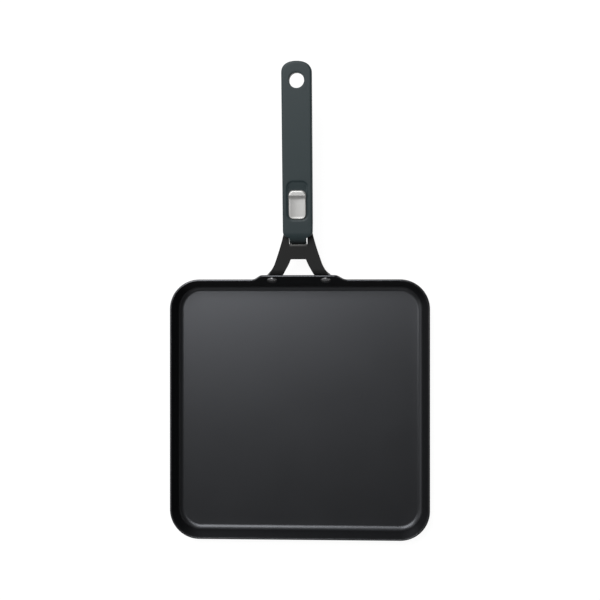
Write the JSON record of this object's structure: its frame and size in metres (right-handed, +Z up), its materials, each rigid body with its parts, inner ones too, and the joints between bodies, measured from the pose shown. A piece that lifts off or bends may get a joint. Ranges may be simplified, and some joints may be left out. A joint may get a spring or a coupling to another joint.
{
  "type": "square griddle pan",
  "caption": "Square flat griddle pan of black coated sheet steel with a low sloped wall, a riveted A-shaped bracket and a plug-on moulded handle locked by a steel thumb slide.",
  "frame": {"origin": "centre of the pan's flat underside, on the surface that it stands on", "axes": "+Z up, +Y from the pan towards the end of the handle, +X to the right when the handle points away from the viewer"},
  "size_m": [0.28, 0.5044, 0.074],
  "materials": {
    "pan_coating": "satin",
    "rivet_steel": "satin",
    "bracket_paint": "matte",
    "grip_plastic": "matte",
    "satin_steel": "satin",
    "inner_steel": "satin"
  },
  "bodies": {
    "pan": {"pan_body": "pan_coating", "rivet_left": "rivet_steel", "rivet_right": "rivet_steel", "handle_bracket": "bracket_paint", "handle_core": "inner_steel", "grip_upper_shell": "grip_plastic", "grip_lower_shell": "grip_plastic", "latch_spring": "inner_steel", "core_screw_front": "inner_steel", "core_screw_rear": "inner_steel", "shell_screw_front": "inner_steel", "shell_screw_rear": "inner_steel"},
    "latch": {"slide_button": "satin_steel", "latch_bolt": "inner_steel", "button_screw": "inner_steel"}
  },
  "joints": [
    {"name": "button_slide", "type": "slide", "parent": "pan", "child": "latch", "axis": [0, 0.9903, 0.1392], "range_m": [0, 0.008], "stiffness_N_per_m": 600, "springref_m": -0.006, "deforming": ["latch_spring"]}
  ]
}
